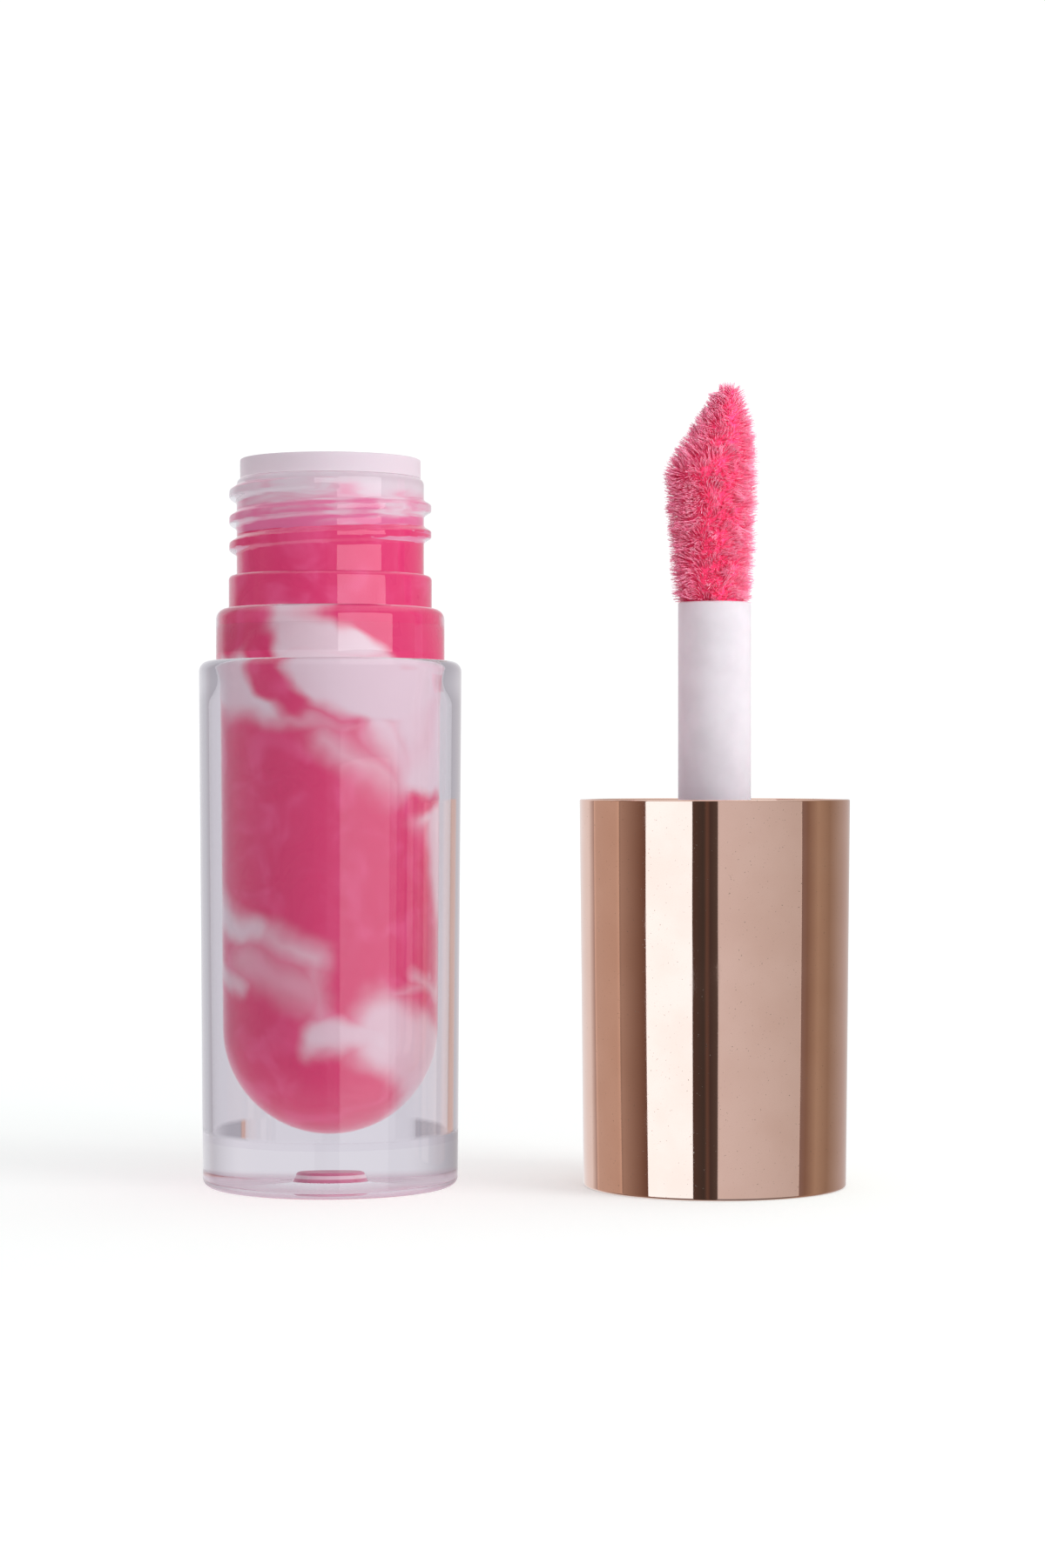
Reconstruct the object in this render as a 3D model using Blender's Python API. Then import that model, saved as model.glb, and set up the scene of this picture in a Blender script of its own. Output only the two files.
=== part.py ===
# Lip gloss tube, opened. The filled bottle stands beside its cap, which stands on its closed end
# with the wand pointing up. X runs from the bottle to the cap, the front faces -Y, Z is up, and
# the origin is on the ground, in the middle of the footprint. Lengths below are millimetres.
import math

import bmesh
import bpy

MM = 0.001
GAP = 0.3               # clearance between neighbouring pieces
SIDES = 36              # flats round a large turned piece
SMALL_SIDES = 24        # flats round the wand's pieces
TINY = 0.00001          # merging distance in metres
SHARP_ANGLE = 35        # degrees; softer edges are shaded smooth

# places of the two axes
BOTTLE_X = -14.8
CAP_X = 14.5

# outer sleeve
SLEEVE_HEIGHT = 39.9
SLEEVE_TOP_RADIUS = 10.0
SLEEVE_FOOT_RADIUS = 9.72
SLEEVE_WALL = 0.73
SLEEVE_SHOULDER = 0.8
SLEEVE_FOOT_ROUND = 0.7
SLEEVE_MOUTH_RADIUS = 9.0
SLEEVE_MOUTH_DEPTH = 1.2
SLEEVE_MOUTH_SLOPE = 0.4
SLEEVE_FLOOR = 3.5      # lowest point of the round-bottomed cavity
BASE_RECESS_RADIUS = 5.2
BASE_RECESS_DEPTH = 0.75
GATE_RADIUS = 1.9
GATE_TOP = 1.5
GATE_SLOPE = 0.3

# inner bottle
BODY_TOP_RADIUS = 8.37
BODY_LOW_RADIUS = 8.2
BODY_BOTTOM = 3.85
BODY_WALL = 1.0
RING_TWO_RADIUS = 8.7
RING_TWO_TOP = 43.9
RING_TWO_ROUND = 0.8
RING_ONE_RADIUS = 7.74
RING_ONE_TOP = 46.4
RING_ONE_ROUND = 0.3
NECK_RADIUS = 7.13
NECK_TOP = 53.8
NECK_ROUND = 0.4
NECK_BORE = 5.9
BORE_START = 42.6
CHAMBER_CEILING = 2.1   # drop from the bore to where the chamber is at its widest
CEILING_INSET = 0.6     # share of an inset by which the sloping ceiling comes down

# screw thread
PITCH = 2.0
THREAD_CREST = 7.7
THREAD_ROOT_WIDTH = 1.3
THREAD_CREST_WIDTH = 0.45
THREAD_TURNS = 2.25
THREAD_END_ANGLE = 280  # degrees, the upper end, just past the front, in step with the flats
THREAD_END_HEIGHT = 53.1
THREAD_FADE = 18        # degrees over which an end runs out
THREAD_END_SHARE = 0.3  # how much of its depth is left at the very end
THREAD_ROOT_DEPTH = 0.3 # how far a ridge is sunk into its wall
CAP_THREAD_TURNS = 1.5
CAP_THREAD_CREST = NECK_RADIUS + GAP
CAP_THREAD_END_HEIGHT = 21.0

# wiper
WIPER_TOP = 55.25
WIPER_FLANGE_RADIUS = 6.87
WIPER_PLUG_END = 49.2
WIPER_TIP = 44.2
WIPER_EDGE = 0.15
WIPER_MOUTH = 4.7
WIPER_MOUTH_EDGE = 0.3
FUNNEL_TOP = 50.0       # where the mouth starts to narrow
FUNNEL_TOP_RADIUS = 4.5
FUNNEL_WAIST = 48.8
FUNNEL_WAIST_RADIUS = 3.5
FUNNEL_OUTSIDE = 4.3
PLUG_CHAMFER = 0.6
ORIFICE_RADIUS = 2.7
ORIFICE_LENGTH = 1.3
ORIFICE_WALL = 0.7

# cap
CAP_HEIGHT = 29.4
CAP_RIM_RADIUS = 10.3
CAP_END_RADIUS = 10.0
CAP_WALL = 0.5
CAP_END_THICKNESS = 1.0
CAP_EDGE = 0.15
LINER_RECESS = 0.5
LINER_PLATE_TOP = 13.25
LINER_PLATE = 1.2
LINER_BORE = 8.05
LINER_MOUTH_BORE = 9.0
LINER_MOUTH_START = 25.4
LINER_SKIRT = 1.0
SOCKET_FLOOR = 4.3
SOCKET_WALL = 1.0
WASHER_THICKNESS = 0.8
WASHER_RADIUS = 7.7

# wand
STEM_RADIUS = 2.78
STEM_TOP = 44.4
STEM_EDGE = 0.15
PEG_RADIUS = 1.2
PEG_DEPTH = 5.8
TIP_BASE = 44.7
TIP_HEEL = 54.2
TIP_TOP = 61.0
TIP_FACE_ANGLE = 200    # degrees, where the slanted face looks: left and a little forward
FLOCK_THICKNESS = 0.5
TIP_FRONT = 2.8         # reach towards the slanted face at the stem
TIP_FRONT_GROWTH = 0.8  # what it gains up to the heel
TIP_FRONT_SLANT = 4.1   # and what it loses from there to the top
TIP_BACK = 2.55
TIP_BACK_GROWTH = 0.37
TIP_BACK_LOSS = 0.55    # share that the back loses at the very top
TIP_SIDE = 2.65
TIP_SIDE_GROWTH = 0.35
TIP_FULL_HALF = 3.3     # the sides narrow where the tip is thinner than this
TIP_END_HALF = 0.35     # the tip ends where it is this thin
TIP_END_STEP = 0.05

# The wand turns over about a line midway between the two axes, high enough to bring the tip
# just above the bottle's mouth.
TURN_X = (BOTTLE_X + CAP_X) / 2
TURN_Z = 59.2


def plain_material(name, colour, roughness, metallic=0.0, transmission=0.0):
    """A Principled BSDF with one colour."""
    material = bpy.data.materials.new(name)
    material.use_nodes = True
    shader = material.node_tree.nodes["Principled BSDF"]
    shader.inputs["Base Color"].default_value = (*colour, 1.0)
    shader.inputs["Roughness"].default_value = roughness
    shader.inputs["Metallic"].default_value = metallic
    shader.inputs["Transmission Weight"].default_value = transmission
    return material


def arc(centre_radius, centre_height, radius, start, end, steps):
    """Points on a round stretch of a section, by angles in degrees from straight outwards."""
    points = []
    for step in range(steps + 1):
        angle = math.radians(start + (end - start) * step / steps)
        points.append((centre_radius + radius * math.cos(angle),
                       centre_height + radius * math.sin(angle)))
    return points


def finish_object(name, mesh_data, material, parent):
    """Close off a bmesh as a named, smoothly shaded object on its axis."""
    bmesh.ops.remove_doubles(mesh_data, verts=mesh_data.verts, dist=TINY)
    bmesh.ops.recalc_face_normals(mesh_data, faces=mesh_data.faces)
    mesh = bpy.data.meshes.new(name)
    mesh_data.to_mesh(mesh)
    mesh_data.free()
    mesh.materials.append(material)
    mesh.shade_smooth()
    mesh.set_sharp_from_angle(angle=math.radians(SHARP_ANGLE))
    piece = bpy.data.objects.new(name, mesh)
    bpy.context.scene.collection.objects.link(piece)
    piece.parent = parent
    return piece


def turned(name, section, material, parent, sides=SIDES, closed=False):
    """Turn a section of (radius, height) points round the parent's vertical axis."""
    mesh_data = bmesh.new()
    verts = [mesh_data.verts.new((radius * MM, 0, height * MM)) for radius, height in section]
    edges = [mesh_data.edges.new(pair) for pair in zip(verts, verts[1:])]
    if closed:
        edges.append(mesh_data.edges.new((verts[-1], verts[0])))
    bmesh.ops.spin(mesh_data, geom=verts + edges, cent=(0, 0, 0), axis=(0, 0, 1),
                   angle=2 * math.pi, steps=sides, use_merge=True)
    return finish_object(name, mesh_data, material, parent)


def lofted(name, rings, material, parent):
    """Skin a run of equal rings of points, in millimetres, and close both ends."""
    mesh_data = bmesh.new()
    rows = [[mesh_data.verts.new([part * MM for part in point]) for point in ring]
            for ring in rings]
    for low, high in zip(rows, rows[1:]):
        for index, vert in enumerate(low):
            following = (index + 1) % len(low)
            mesh_data.faces.new((vert, low[following], high[following], high[index]))
    mesh_data.faces.new(rows[0][::-1])
    mesh_data.faces.new(rows[-1])
    return finish_object(name, mesh_data, material, parent)


def helical_ridge(name, buried, crest, turns, end_angle, end_height, material, parent):
    """A right-handed ridge of one thread, whose ends sink into the wall it stands on."""
    steps = round(turns * SIDES)
    rings = []
    for step in range(steps + 1):
        back = 360 * turns * (1 - step / steps)
        angle = math.radians(end_angle - back)
        height = end_height - PITCH * back / 360
        rise = min(1.0, back / THREAD_FADE, (360 * turns - back) / THREAD_FADE)
        share = THREAD_END_SHARE + (1 - THREAD_END_SHARE) * rise
        top = buried + (crest - buried) * share
        profile = [(buried, -THREAD_ROOT_WIDTH / 2), (top, -THREAD_CREST_WIDTH / 2),
                   (top, THREAD_CREST_WIDTH / 2), (buried, THREAD_ROOT_WIDTH / 2)]
        rings.append([(radius * math.cos(angle), radius * math.sin(angle), height + offset)
                      for radius, offset in profile])
    ridge = lofted(name, rings, material, parent)
    ridge.hide_render = True
    ridge.display_type = "WIRE"
    return ridge


def join_ridge(piece, ridge):
    """Fuse a thread ridge with the wall that carries it."""
    union = piece.modifiers.new("thread", "BOOLEAN")
    union.operation = "UNION"
    union.solver = "EXACT"
    union.object = ridge


def make_sleeve(parent):
    """Clear cup with a round-bottomed cavity, a thick foot and a gate mark in its base."""
    material = plain_material("clear_sleeve", (0.93, 0.93, 0.97), 0.03, transmission=1.0)
    foot, shoulder = SLEEVE_FOOT_ROUND, SLEEVE_SHOULDER
    low_inside = SLEEVE_FOOT_RADIUS - SLEEVE_WALL
    section = [(0, GATE_TOP), (GATE_RADIUS - GATE_SLOPE, GATE_TOP),
               (GATE_RADIUS, BASE_RECESS_DEPTH), (BASE_RECESS_RADIUS, 0)]
    section += arc(SLEEVE_FOOT_RADIUS - foot, foot, foot, -90, 0, 4)
    section += arc(SLEEVE_TOP_RADIUS - shoulder, SLEEVE_HEIGHT - shoulder, shoulder, 0, 90, 4)
    mouth_low = SLEEVE_HEIGHT - SLEEVE_MOUTH_DEPTH
    section += [(SLEEVE_MOUTH_RADIUS, SLEEVE_HEIGHT), (SLEEVE_MOUTH_RADIUS, mouth_low),
                (SLEEVE_TOP_RADIUS - SLEEVE_WALL, mouth_low - SLEEVE_MOUTH_SLOPE)]
    section += arc(0, SLEEVE_FLOOR + low_inside, low_inside, 0, -90, 7)
    return turned("outer_sleeve", section, material, parent)


def chamber_section(inset):
    """The chamber's outline from its lowest point up to the foot of the neck's bore."""
    low_radius = BODY_LOW_RADIUS - BODY_WALL - inset
    top_radius = BODY_TOP_RADIUS - BODY_WALL - inset
    points = arc(0, BODY_BOTTOM + BODY_LOW_RADIUS, low_radius, -90, 0, 7)
    lowered = BORE_START - inset * CEILING_INSET
    points += [(top_radius, lowered - CHAMBER_CEILING), (NECK_BORE - inset, lowered)]
    return points


def make_bottle(parent):
    """Round-bottomed inner bottle with two stepped rings and a threaded neck."""
    material = plain_material("clear_bottle", (0.96, 0.93, 0.97), 0.04, transmission=1.0)
    section = arc(0, BODY_BOTTOM + BODY_LOW_RADIUS, BODY_LOW_RADIUS, -90, 0, 7)
    collar_start = SLEEVE_HEIGHT - SLEEVE_MOUTH_DEPTH
    section += [(BODY_TOP_RADIUS, collar_start - SLEEVE_MOUTH_SLOPE),
                (RING_TWO_RADIUS, collar_start)]
    section += arc(RING_TWO_RADIUS - RING_TWO_ROUND, RING_TWO_TOP - RING_TWO_ROUND,
                   RING_TWO_ROUND, 0, 90, 4)
    section += [(RING_ONE_RADIUS, RING_TWO_TOP)]
    section += arc(RING_ONE_RADIUS - RING_ONE_ROUND, RING_ONE_TOP - RING_ONE_ROUND,
                   RING_ONE_ROUND, 0, 90, 2)
    section += [(NECK_RADIUS, RING_ONE_TOP)]
    section += arc(NECK_RADIUS - NECK_ROUND, NECK_TOP - NECK_ROUND, NECK_ROUND, 0, 90, 3)
    section += [(NECK_BORE, NECK_TOP)]
    section += chamber_section(0)[::-1]
    bottle = turned("inner_bottle", section, material, parent)
    ridge = helical_ridge("neck_thread_guide", NECK_RADIUS - THREAD_ROOT_DEPTH, THREAD_CREST,
                          THREAD_TURNS, THREAD_END_ANGLE, THREAD_END_HEIGHT, material, parent)
    join_ridge(bottle, ridge)
    return bottle


def make_wiper(parent):
    """Soft plug with a flange on the neck's rim and a funnel that narrows to the orifice."""
    material = plain_material("wiper_white", (0.9, 0.85, 0.9), 0.35)
    flange_low = NECK_TOP + GAP
    plug = NECK_BORE - GAP
    section = [(WIPER_FLANGE_RADIUS, flange_low), (WIPER_FLANGE_RADIUS, WIPER_TOP - WIPER_EDGE),
               (WIPER_FLANGE_RADIUS - WIPER_EDGE, WIPER_TOP),
               (WIPER_MOUTH + WIPER_MOUTH_EDGE, WIPER_TOP),
               (WIPER_MOUTH, WIPER_TOP - WIPER_MOUTH_EDGE), (FUNNEL_TOP_RADIUS, FUNNEL_TOP),
               (FUNNEL_WAIST_RADIUS, FUNNEL_WAIST), (ORIFICE_RADIUS, WIPER_TIP + ORIFICE_LENGTH),
               (ORIFICE_RADIUS, WIPER_TIP), (ORIFICE_RADIUS + ORIFICE_WALL, WIPER_TIP),
               (FUNNEL_OUTSIDE, WIPER_PLUG_END - PLUG_CHAMFER), (plug, WIPER_PLUG_END),
               (plug, flange_low)]
    return turned("wiper", section, material, parent, closed=True)


def make_gloss(parent):
    """The gloss that fills the chamber and stands round the wiper's funnel."""
    material = plain_material("gloss_pink", (0.75, 0.06, 0.24), 0.15)
    top = WIPER_PLUG_END - PLUG_CHAMFER - GAP
    beside_tip = ORIFICE_RADIUS + ORIFICE_WALL
    section = chamber_section(GAP)
    section += [(NECK_BORE - GAP, top), (FUNNEL_OUTSIDE + GAP, top),
                (beside_tip + GAP, WIPER_TIP), (beside_tip, WIPER_TIP - GAP),
                (0, WIPER_TIP - GAP)]
    return turned("gloss_fill", section, material, parent)


def make_cap_shell(parent):
    """Thin rose gold cup, standing on its closed end."""
    material = plain_material("rose_gold", (0.75, 0.48, 0.38), 0.12, metallic=1.0)
    section = [(0, 0), (CAP_END_RADIUS - CAP_EDGE, 0), (CAP_END_RADIUS, CAP_EDGE),
               (CAP_RIM_RADIUS, CAP_HEIGHT - CAP_EDGE), (CAP_RIM_RADIUS - CAP_EDGE, CAP_HEIGHT),
               (CAP_RIM_RADIUS - CAP_WALL, CAP_HEIGHT),
               (CAP_END_RADIUS - CAP_WALL, CAP_END_THICKNESS), (0, CAP_END_THICKNESS)]
    return turned("cap_shell", section, material, parent)


def make_inner_cap(parent):
    """Liner that carries the screw thread, the washer's seat and the stem's socket."""
    material = plain_material("liner_white", (0.85, 0.8, 0.84), 0.4)
    low = CAP_END_THICKNESS + GAP
    high = CAP_HEIGHT - LINER_RECESS
    outer_low = CAP_END_RADIUS - CAP_WALL - GAP
    outer_high = CAP_RIM_RADIUS - CAP_WALL - GAP
    plate_low = LINER_PLATE_TOP - LINER_PLATE
    socket_bore = STEM_RADIUS + GAP
    socket_outside = socket_bore + SOCKET_WALL
    section = [(0, SOCKET_FLOOR), (socket_bore, SOCKET_FLOOR), (socket_bore, LINER_PLATE_TOP),
               (LINER_BORE, LINER_PLATE_TOP), (LINER_BORE, LINER_MOUTH_START),
               (LINER_MOUTH_BORE, LINER_MOUTH_START), (LINER_MOUTH_BORE, high),
               (outer_high, high), (outer_low, low), (outer_low - LINER_SKIRT, low),
               (outer_low - LINER_SKIRT, plate_low), (socket_outside, plate_low),
               (socket_outside, SOCKET_FLOOR - SOCKET_WALL), (0, SOCKET_FLOOR - SOCKET_WALL)]
    liner = turned("inner_cap", section, material, parent)
    ridge = helical_ridge("cap_thread_guide", LINER_BORE + THREAD_ROOT_DEPTH, CAP_THREAD_CREST,
                          CAP_THREAD_TURNS, THREAD_END_ANGLE, CAP_THREAD_END_HEIGHT, material,
                          parent)
    join_ridge(liner, ridge)
    return liner


def make_washer(parent):
    """Soft ring that seals the cap against the wiper's flange."""
    material = plain_material("washer_grey", (0.82, 0.8, 0.82), 0.6)
    low = LINER_PLATE_TOP + GAP
    section = [(STEM_RADIUS + GAP, low), (WASHER_RADIUS, low),
               (WASHER_RADIUS, low + WASHER_THICKNESS), (STEM_RADIUS + GAP, low + WASHER_THICKNESS)]
    return turned("cap_washer", section, material, parent, closed=True)


def make_stem(parent):
    """Pale round stem with a bore in its end for the tip's peg."""
    material = plain_material("stem_white", (0.86, 0.8, 0.87), 0.3)
    low = SOCKET_FLOOR + GAP
    bore = PEG_RADIUS + GAP
    bore_floor = STEM_TOP - PEG_DEPTH - GAP
    section = [(0, low), (STEM_RADIUS - STEM_EDGE, low), (STEM_RADIUS, low + STEM_EDGE),
               (STEM_RADIUS, STEM_TOP - STEM_EDGE), (STEM_RADIUS - STEM_EDGE, STEM_TOP),
               (bore, STEM_TOP), (bore, bore_floor), (0, bore_floor)]
    return turned("wand_stem", section, material, parent, sides=SMALL_SIDES)


def circle(radius, height):
    """One round ring, in step with the tip's rings."""
    ring = []
    for index in range(SMALL_SIDES):
        angle = 2 * math.pi * index / SMALL_SIDES + math.radians(TIP_FACE_ANGLE)
        ring.append((radius * math.cos(angle), radius * math.sin(angle), height))
    return ring


def tip_extents(height):
    """How far the tip reaches towards its face, away from it, and sideways, at a height."""
    below = min(1.0, (height - TIP_BASE) / (TIP_HEEL - TIP_BASE))
    above = max(0.0, (height - TIP_HEEL) / (TIP_TOP - TIP_HEEL))
    front = TIP_FRONT + TIP_FRONT_GROWTH * below - TIP_FRONT_SLANT * above
    back = TIP_BACK + TIP_BACK_GROWTH * math.sin(below * math.pi / 2)
    back *= 1 - TIP_BACK_LOSS * above ** 4
    side = TIP_SIDE + TIP_SIDE_GROWTH * below
    half = (front + back) / 2
    return front, back, side * math.sqrt(min(1.0, half / TIP_FULL_HALF))


def tip_ring(height, inset):
    """One ring of the tip, set in from the outside of the flock."""
    front, back, side = tip_extents(height)
    half = (front + back) / 2 - inset
    shift = (front - back) / 2
    turn = math.radians(TIP_FACE_ANGLE)
    ring = []
    for index in range(SMALL_SIDES):
        angle = 2 * math.pi * index / SMALL_SIDES
        along = shift + half * math.cos(angle)
        across = (side - inset) * math.sin(angle)
        ring.append((along * math.cos(turn) - across * math.sin(turn),
                     along * math.sin(turn) + across * math.cos(turn), height))
    return ring


def tip_rings(inset, low, rows):
    """Rings from a height up to where the tip, set in by that much, comes to its end."""
    top = TIP_TOP
    while sum(tip_extents(top)[:2]) / 2 - inset < TIP_END_HALF:
        top -= TIP_END_STEP
    rings = []
    for row in range(rows + 1):
        share = math.sin(row / rows * math.pi / 2)
        rings.append(tip_ring(low + (top - low) * share, inset))
    return rings


def make_tip(parent):
    """Slanted core with a peg in the stem, and the flocked sock round it."""
    core_material = plain_material("core_pink", (0.8, 0.3, 0.45), 0.5)
    flock_material = plain_material("flock_pink", (0.85, 0.12, 0.3), 0.9)
    rows = 10
    core = [circle(PEG_RADIUS, STEM_TOP - PEG_DEPTH), circle(PEG_RADIUS, TIP_BASE)]
    core += tip_rings(FLOCK_THICKNESS + GAP, TIP_BASE, rows)
    lofted("tip_core", core, core_material, parent)
    outside = tip_rings(0, TIP_BASE, rows)
    inside = tip_rings(FLOCK_THICKNESS, TIP_BASE, rows)
    lofted("tip_flock", inside[::-1] + outside, flock_material, parent)


def axis_empty(name, place, parent=None):
    """An empty that marks an axis and carries what turns about it."""
    empty = bpy.data.objects.new(name, None)
    bpy.context.scene.collection.objects.link(empty)
    empty.parent = parent
    empty.location = [part * MM for part in place]
    return empty


def main():
    for old in list(bpy.data.objects):
        bpy.data.objects.remove(old)
    bottle_axis = axis_empty("bottle_axis", (BOTTLE_X, 0, 0))
    make_sleeve(bottle_axis)
    make_bottle(bottle_axis)
    make_wiper(bottle_axis)
    make_gloss(bottle_axis)
    turn_axis = axis_empty("turn_over_axis", (TURN_X, 0, TURN_Z))
    cap_axis = axis_empty("cap_axis", (CAP_X - TURN_X, 0, -TURN_Z), turn_axis)
    make_cap_shell(cap_axis)
    make_inner_cap(cap_axis)
    make_washer(cap_axis)
    make_stem(cap_axis)
    make_tip(cap_axis)


main()
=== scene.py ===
# Opened lip gloss tube: a clear double-walled bottle of swirled gloss on the left,
# and its rose gold cap on the right, standing on its closed end with the wand up.
import math
import random

import bmesh
import bpy
from mathutils import Matrix, Vector
from mathutils import noise as spaceNoise


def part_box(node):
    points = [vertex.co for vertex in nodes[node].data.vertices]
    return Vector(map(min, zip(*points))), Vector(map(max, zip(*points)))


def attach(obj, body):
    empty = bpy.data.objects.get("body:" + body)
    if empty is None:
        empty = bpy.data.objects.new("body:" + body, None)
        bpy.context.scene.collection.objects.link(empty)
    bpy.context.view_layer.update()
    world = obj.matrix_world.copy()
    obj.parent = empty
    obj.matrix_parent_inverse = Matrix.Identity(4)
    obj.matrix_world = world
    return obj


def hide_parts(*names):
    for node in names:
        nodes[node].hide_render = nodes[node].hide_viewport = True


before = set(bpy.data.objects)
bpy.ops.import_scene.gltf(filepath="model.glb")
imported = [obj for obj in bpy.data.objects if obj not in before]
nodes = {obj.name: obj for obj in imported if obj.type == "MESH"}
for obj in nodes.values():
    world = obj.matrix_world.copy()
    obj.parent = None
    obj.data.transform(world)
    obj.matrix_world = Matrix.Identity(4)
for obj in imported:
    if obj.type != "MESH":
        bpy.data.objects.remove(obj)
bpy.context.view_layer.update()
mm = 0.001


class Wire:
    # a socket that can be used in sums
    def __init__(self, socket):
        self.socket = socket

    def __add__(self, other):
        return maths("ADD", self, other)

    def __radd__(self, other):
        return maths("ADD", other, self)

    def __sub__(self, other):
        return maths("SUBTRACT", self, other)

    def __rsub__(self, other):
        return maths("SUBTRACT", other, self)

    def __mul__(self, other):
        return maths("MULTIPLY", self, other)

    def __rmul__(self, other):
        return maths("MULTIPLY", other, self)

    def __truediv__(self, other):
        return maths("DIVIDE", self, other)

    def __rtruediv__(self, other):
        return maths("DIVIDE", other, self)


def maths(operation, first, second=0.0):
    # a Math node, in the tree of whichever value comes by wire
    wired = first if isinstance(first, Wire) else second
    made = addNode(wired.socket.id_data, "ShaderNodeMath", {"operation": operation},
                   {0: first, 1: second})
    return output(made)


def addNode(tree, kind, settings=None, inputs=None):
    # settings go in before the sockets' values, because some of them change the sockets
    made = tree.nodes.new(kind)
    for name, value in (settings or {}).items():
        if name == "stops":
            fillRamp(made.color_ramp, value)
        else:
            setattr(made, name, value)
    for name, value in (inputs or {}).items():
        if isinstance(value, Wire):
            tree.links.new(value.socket, made.inputs[name])
        else:
            made.inputs[name].default_value = value
    return made


def fillRamp(ramp, stops):
    while len(ramp.elements) < len(stops):
        ramp.elements.new(0.5)
    for element, (place, colour) in zip(ramp.elements, stops):
        element.position = place
        element.color = (*colour, 1.0)


def output(made, name=0):
    return Wire(made.outputs[name])


def newMaterial(name):
    material = bpy.data.materials.new(name)
    material.use_nodes = True
    material.node_tree.nodes.clear()
    return material, material.node_tree


def showShader(tree, shader):
    addNode(tree, "ShaderNodeOutputMaterial", {}, {"Surface": shader})


def objectPlace(tree, centre):
    # object coordinates in millimetres, centred on a piece's own axis
    where = output(addNode(tree, "ShaderNodeTexCoord"), "Object")
    moved = addNode(tree, "ShaderNodeMapping", {"vector_type": "POINT"},
                    {"Vector": where, "Location": [-part / mm for part in centre],
                     "Scale": (1 / mm, 1 / mm, 1 / mm)})
    return output(moved)


def noise(tree, place, scale, detail=2.0, distortion=0.0, roughness=0.5):
    made = addNode(tree, "ShaderNodeTexNoise", {"noise_dimensions": "3D"},
                   {"Vector": place, "Scale": scale, "Detail": detail,
                    "Distortion": distortion, "Roughness": roughness})
    return output(made, "Fac")


def ramp(tree, value, low, high, toLow=0.0, toHigh=1.0, smooth=True):
    made = addNode(tree, "ShaderNodeMapRange",
                   {"interpolation_type": "SMOOTHSTEP" if smooth else "LINEAR", "clamp": True},
                   {"Value": value, "From Min": low, "From Max": high,
                    "To Min": toLow, "To Max": toHigh})
    return output(made)


def mixColour(tree, share, first, second):
    made = addNode(tree, "ShaderNodeMix", {"data_type": "RGBA"}, {0: share, 6: first, 7: second})
    return output(made, 2)


def rgba(colour):
    return (*colour, 1.0)


def bumped(tree, height, strength, distance):
    return output(addNode(tree, "ShaderNodeBump", {},
                          {"Height": height, "Strength": strength, "Distance": distance}))


def roundStretch(centreRadius, centreHeight, radius, start, end, steps):
    # points on an arc of an outline, angles in degrees from straight outwards
    return [(centreRadius + radius * math.cos(math.radians(start + (end - start) * i / steps)),
             centreHeight + radius * math.sin(math.radians(start + (end - start) * i / steps)))
            for i in range(steps + 1)]


def easedStretch(fromRadius, fromHeight, toRadius, toHeight, steps):
    # a run from one wall to the next that leaves and meets both upright
    return [(fromRadius + (toRadius - fromRadius) * rise(0, 1, step / steps),
             fromHeight + (toHeight - fromHeight) * step / steps) for step in range(steps + 1)]


def finishMesh(name, shape, material, body, sharpAngle=32):
    bmesh.ops.remove_doubles(shape, verts=shape.verts, dist=1e-7)
    bmesh.ops.recalc_face_normals(shape, faces=shape.faces)
    mesh = bpy.data.meshes.new(name)
    shape.to_mesh(mesh)
    shape.free()
    mesh.materials.append(material)
    mesh.shade_smooth()
    mesh.set_sharp_from_angle(angle=math.radians(sharpAngle))
    piece = bpy.data.objects.new(name, mesh)
    bpy.context.scene.collection.objects.link(piece)
    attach(piece, body)
    return piece


def spun(name, outline, axisX, material, body, sides=144, loop=False, reshape=None,
         sharpAngle=32):
    # turns an outline of (radius, height), in millimetres, about a vertical axis
    shape = bmesh.new()
    verts = [shape.verts.new((radius, 0, height)) for radius, height in outline]
    edges = [shape.edges.new(pair) for pair in zip(verts, verts[1:])]
    if loop:
        edges.append(shape.edges.new((verts[-1], verts[0])))
    bmesh.ops.spin(shape, geom=verts + edges, cent=(0, 0, 0), axis=(0, 0, 1),
                   angle=2 * math.pi, steps=sides, use_merge=True)
    if reshape:
        for vert in shape.verts:
            x, y, z = vert.co
            vert.co = reshape(math.atan2(y, x), math.hypot(x, y), z)
    bmesh.ops.scale(shape, vec=(mm, mm, mm), verts=shape.verts)
    bmesh.ops.translate(shape, vec=(axisX, 0, 0), verts=shape.verts)
    return finishMesh(name, shape, material, body, sharpAngle)


def boxOf(name):
    # a node's middle, half width and heights, the last three in millimetres
    low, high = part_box(name)
    return (low.x + high.x) / 2, (high.x - low.x) / 2 / mm, low.z / mm, high.z / mm


def rise(low, high, value):
    share = min(1.0, max(0.0, (value - low) / (high - low)))
    return share * share * (3 - 2 * share)


bottleX, sleeveRadius, ground, sleeveTop = boxOf("outer_sleeve")
capX, capRadius, _, capTop = boxOf("cap_shell")
_, _, bottleLow, neckTop = boxOf("inner_bottle")
_, wiperRadius, wiperLow, wiperTop = boxOf("wiper")
_, linerRadius, linerLow, linerTop = boxOf("inner_cap")
_, washerRadius, washerLow, washerTop = boxOf("cap_washer")
_, stemRadius, stemLow, stemTop = boxOf("wand_stem")
_, _, flockLow, flockTop = boxOf("tip_flock")
print("frame loaded, sleeve", round(sleeveRadius, 2), "cap", round(capRadius, 2))


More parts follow.
